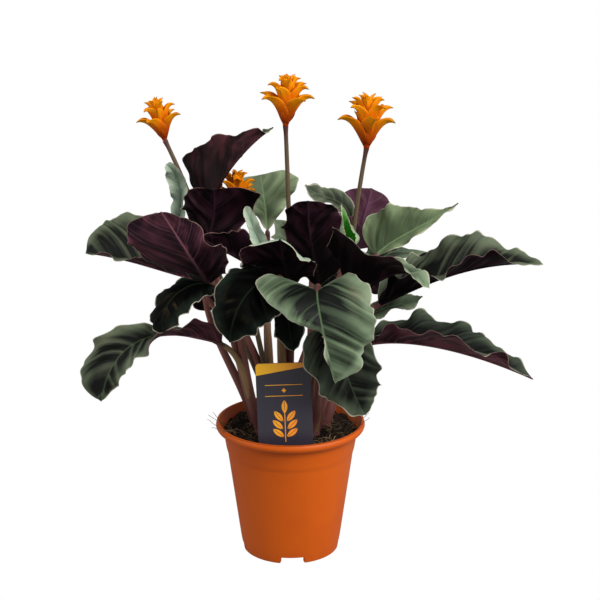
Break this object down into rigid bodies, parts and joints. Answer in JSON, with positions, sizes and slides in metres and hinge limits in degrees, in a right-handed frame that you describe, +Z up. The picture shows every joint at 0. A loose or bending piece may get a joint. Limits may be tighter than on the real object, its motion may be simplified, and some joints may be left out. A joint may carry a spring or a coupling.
{
  "type": "potted eternal flame calathea",
  "caption": "Flowering foliage plant in a round plastic pot: long-stalked waved leaves, dark below, and orange blooms on tall stalks, in soil with a plant label.",
  "frame": {"origin": "middle of the pot's underside, on the surface that the pot stands on", "axes": "+Z up, -Y towards the front, where the label stands, +X to the right seen from the front"},
  "size_m": [0.4169, 0.2824, 0.4523],
  "materials": {
    "pot": "satin",
    "soil": "matte",
    "label": "satin",
    "stem": "satin",
    "leaf": "satin",
    "bloom": "satin"
  },
  "bodies": {
    "root": {"pot": "pot", "soil": "soil", "label": "label", "shoot_front_left": "stem", "shoot_left": "stem", "shoot_back_left": "stem", "shoot_middle": "stem", "shoot_front_right": "stem", "shoot_right": "stem", "shoot_back_right": "stem", "leaf_01": "leaf", "leaf_02": "leaf", "leaf_03": "leaf", "leaf_04": "leaf", "leaf_05": "leaf", "leaf_06": "leaf", "leaf_07": "leaf", "leaf_08": "leaf", "leaf_09": "leaf", "leaf_10": "leaf", "leaf_11": "leaf", "leaf_12": "leaf", "leaf_13": "leaf", "leaf_14": "leaf", "leaf_15": "leaf", "leaf_16": "leaf", "leaf_17": "leaf", "leaf_18": "leaf", "leaf_19": "leaf", "leaf_20": "leaf", "leaf_21": "leaf", "leaf_22": "leaf", "leaf_23": "leaf", "leaf_24": "leaf", "leaf_25": "leaf", "leaf_26": "leaf", "leaf_27": "leaf", "leaf_28": "leaf", "leaf_29": "leaf", "bloom_1": "bloom", "bloom_2": "bloom", "bloom_3": "bloom", "bloom_4": "bloom"}
  },
  "joints": []
}
